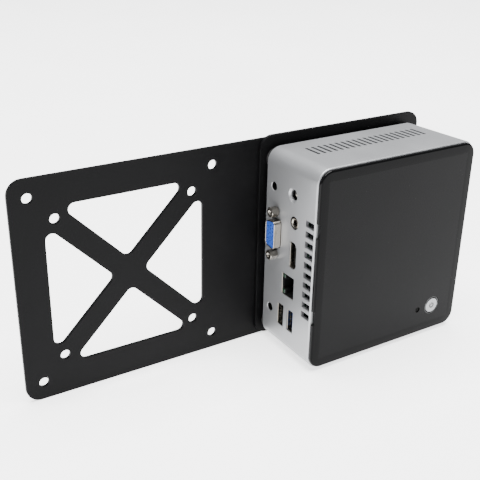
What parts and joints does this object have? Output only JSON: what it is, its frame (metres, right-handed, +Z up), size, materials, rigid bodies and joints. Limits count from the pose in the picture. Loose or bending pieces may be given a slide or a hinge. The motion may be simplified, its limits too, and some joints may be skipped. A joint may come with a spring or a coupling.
{
  "type": "mini pc on mounting plates",
  "caption": "Small square computer with a glossy lid, hung by keyholes on an adapter plate that is bolted to a long mounting plate with square hole patterns.",
  "frame": {"origin": "centre of the square hole patterns of the extension plate, on its flat back face", "axes": "+X along the extension plate towards the computer, +Y out of the plate's back face towards the monitor or arm, +Z up; the computer is on the -Y side"},
  "size_m": [0.2526, 0.0587, 0.1212],
  "materials": {
    "powder_coat": "satin black powder coat on steel",
    "dark_steel": "black zinc plating",
    "zinc_steel": "bright zinc plating",
    "silver_plastic": "satin silver paint",
    "gloss_black": "glossy black",
    "black_plastic": "matte black",
    "foot_rubber": "matte",
    "insert_brass": "turned",
    "button_silver": "fine turned",
    "light_pipe": "clear plastic light guide",
    "ir_filter": "dark red filter",
    "circuit_board": "solder mask",
    "copper": "satin copper",
    "fin_aluminium": "satin",
    "lead_black": "matte jacket",
    "drive_case": "satin",
    "nickel_plate": "nickel plating",
    "connector_blue": "moulded blue",
    "light_green": "clear green, unlit"
  },
  "bodies": {
    "bracket": {"extension_plate": "powder_coat", "adapter_plate": "powder_coat", "plate_screws": "dark_steel", "plate_nuts": "zinc_steel"},
    "computer": {"hanger_screws": "zinc_steel", "chassis_shell": "silver_plastic", "lid": "gloss_black", "bottom_cover": "black_plastic", "feet": "foot_rubber", "cover_screws": "zinc_steel", "rear_inserts": "insert_brass", "power_ring": "black_plastic", "button_board": "circuit_board", "drive_light": "light_pipe", "front_panel": "gloss_black", "ir_window": "ir_filter", "headset_jack": "black_plastic", "card_reader": "nickel_plate", "main_board": "circuit_board", "board_screws": "zinc_steel", "board_components": "black_plastic", "processor": "circuit_board", "cold_plate": "copper", "heat_pipe": "copper", "fin_stack": "fin_aluminium", "fan_housing": "black_plastic", "fan_cover": "fin_aluminium", "fan_bearing": "insert_brass", "fan_stator": "copper", "fan_lead": "lead_black", "memory_socket": "black_plastic", "memory_module": "circuit_board", "memory_chips": "black_plastic", "wireless_card": "circuit_board", "card_screw": "zinc_steel", "antennas": "lead_black", "coin_cell": "zinc_steel", "cell_holder": "black_plastic", "drive": "drive_case", "drive_bay": "zinc_steel", "drive_screws": "zinc_steel", "drive_cable": "lead_black", "vga_card": "circuit_board", "vga_shell": "nickel_plate", "vga_insert": "connector_blue", "vga_nuts": "nickel_plate", "video_port": "nickel_plate", "video_tongue": "black_plastic", "lan_jack": "nickel_plate", "lan_contacts": "insert_brass", "lan_lights": "light_green", "usb_cans": "nickel_plate", "usb_tongues": "connector_blue", "power_jack": "black_plastic", "audio_jack": "nickel_plate"},
    "button": {"power_button": "button_silver", "switch_plunger": "black_plastic"},
    "rotor": {"fan_rotor": "black_plastic"},
    "latch_left": {"memory_latch_left": "zinc_steel"},
    "latch_right": {"memory_latch_right": "zinc_steel"}
  },
  "joints": [
    {"name": "pc_hang", "type": "slide", "parent": "bracket", "child": "computer", "axis": [0, 0, 1], "range_m": [0, 0.008]},
    {"name": "power_button_press", "type": "slide", "parent": "computer", "child": "button", "axis": [0, 1, 0], "range_m": [0, 0.0006], "stiffness_N_per_m": 3000, "springref_m": -0.0003},
    {"name": "fan_spin", "type": "hinge", "parent": "computer", "child": "rotor", "pos_m": [0.13, -0.047, -0.0009], "axis": [0, -1, 0], "continuous": true},
    {"name": "memory_latch_left_open", "type": "hinge", "parent": "computer", "child": "latch_left", "pos_m": [0.1034, -0.03275, 0.0421], "axis": [0, 1, 0], "range_deg": [0, 6], "stiffness_Nm_per_rad": 0.05, "springref_deg": -2.86},
    {"name": "memory_latch_right_open", "type": "hinge", "parent": "computer", "child": "latch_right", "pos_m": [0.1746, -0.03275, 0.0421], "axis": [0, -1, 0], "range_deg": [0, 6], "stiffness_Nm_per_rad": 0.05, "springref_deg": -2.86}
  ]
}
